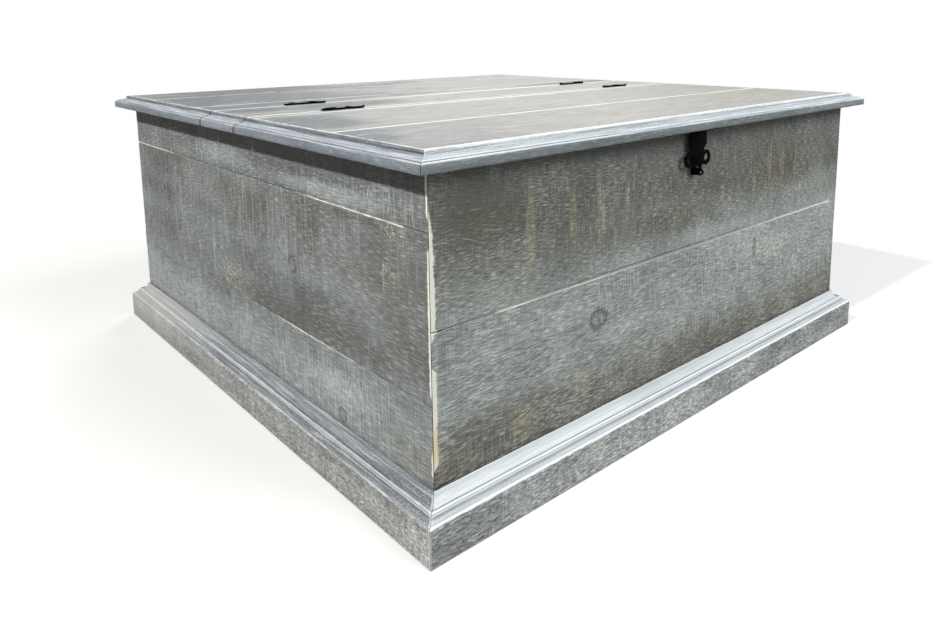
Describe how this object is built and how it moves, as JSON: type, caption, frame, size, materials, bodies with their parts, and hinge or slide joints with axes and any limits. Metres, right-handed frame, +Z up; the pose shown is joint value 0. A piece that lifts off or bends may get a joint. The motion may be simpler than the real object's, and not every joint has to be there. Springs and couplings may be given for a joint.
{
  "type": "storage trunk",
  "caption": "Square low wooden storage trunk with two lids hinged on a fixed centre strip, a moulded plinth, overhanging moulded lids and iron hasps.",
  "frame": {"origin": "on the floor under the middle of the trunk", "axes": "+Z up, -Y towards the front with the pictured hasp, +X to the right when facing the front"},
  "size_m": [1.016, 1.016, 0.4549],
  "materials": {
    "grey_washed_pine": "rough-sawn pine with a worn grey wash",
    "grey_washed_moulding": "planed pine moulding, blue-grey wash rubbed through on the arrises",
    "bare_pine": "unfinished pine inside the trunk",
    "black_iron": "matt black iron"
  },
  "bodies": {
    "trunk": {"front_board_lower": "grey_washed_pine", "front_board_upper": "grey_washed_pine", "back_board_lower": "grey_washed_pine", "back_board_upper": "grey_washed_pine", "left_board_lower": "grey_washed_pine", "left_board_middle": "grey_washed_pine", "left_board_upper": "grey_washed_pine", "right_board_lower": "grey_washed_pine", "right_board_upper": "grey_washed_pine", "plinth_front": "grey_washed_moulding", "plinth_right": "grey_washed_moulding", "plinth_back": "grey_washed_moulding", "plinth_left": "grey_washed_moulding", "floor_panel": "bare_pine", "floor_cleat_left": "bare_pine", "floor_cleat_right": "bare_pine", "corner_post_front_left": "bare_pine", "corner_post_front_right": "bare_pine", "corner_post_back_left": "bare_pine", "corner_post_back_right": "bare_pine", "centre_strip": "grey_washed_pine", "strip_moulding_left": "grey_washed_moulding", "strip_moulding_right": "grey_washed_moulding", "front_left_hinge_fixed_leaf": "black_iron", "front_left_hinge_pin": "black_iron", "front_right_hinge_fixed_leaf": "black_iron", "front_right_hinge_pin": "black_iron", "front_hasp_staple": "black_iron", "back_left_hinge_fixed_leaf": "black_iron", "back_left_hinge_pin": "black_iron", "back_right_hinge_fixed_leaf": "black_iron", "back_right_hinge_pin": "black_iron", "back_hasp_staple": "black_iron"},
    "front_lid": {"front_lid_board_inner": "grey_washed_pine", "front_lid_board_middle": "grey_washed_pine", "front_lid_board_outer": "grey_washed_pine", "front_lid_moulding_front": "grey_washed_moulding", "front_lid_moulding_left": "grey_washed_moulding", "front_lid_moulding_right": "grey_washed_moulding", "front_lid_batten_left": "bare_pine", "front_lid_batten_right": "bare_pine", "front_left_hinge_lid_leaf": "black_iron", "front_right_hinge_lid_leaf": "black_iron", "front_hasp_leaf": "black_iron", "front_hasp_pin": "black_iron"},
    "back_lid": {"back_lid_board_inner": "grey_washed_pine", "back_lid_board_middle": "grey_washed_pine", "back_lid_board_outer": "grey_washed_pine", "back_lid_moulding_back": "grey_washed_moulding", "back_lid_moulding_left": "grey_washed_moulding", "back_lid_moulding_right": "grey_washed_moulding", "back_lid_batten_left": "bare_pine", "back_lid_batten_right": "bare_pine", "back_left_hinge_lid_leaf": "black_iron", "back_right_hinge_lid_leaf": "black_iron", "back_hasp_leaf": "black_iron", "back_hasp_pin": "black_iron"},
    "front_hasp": {"front_hasp_strap": "black_iron"},
    "back_hasp": {"back_hasp_strap": "black_iron"}
  },
  "joints": [
    {"name": "front_lid_hinge", "type": "hinge", "parent": "trunk", "child": "front_lid", "pos_m": [0, -0.062, 0.4524], "axis": [-1, 0, 0], "range_deg": [0, 95]},
    {"name": "back_lid_hinge", "type": "hinge", "parent": "trunk", "child": "back_lid", "pos_m": [0, 0.062, 0.4524], "axis": [1, 0, 0], "range_deg": [0, 95]},
    {"name": "front_hasp_swing", "type": "hinge", "parent": "front_lid", "child": "front_hasp", "pos_m": [0, -0.4865, 0.4255], "axis": [-1, 0, 0], "range_deg": [0, 85]},
    {"name": "back_hasp_swing", "type": "hinge", "parent": "back_lid", "child": "back_hasp", "pos_m": [0, 0.4865, 0.4255], "axis": [1, 0, 0], "range_deg": [0, 85]}
  ]
}
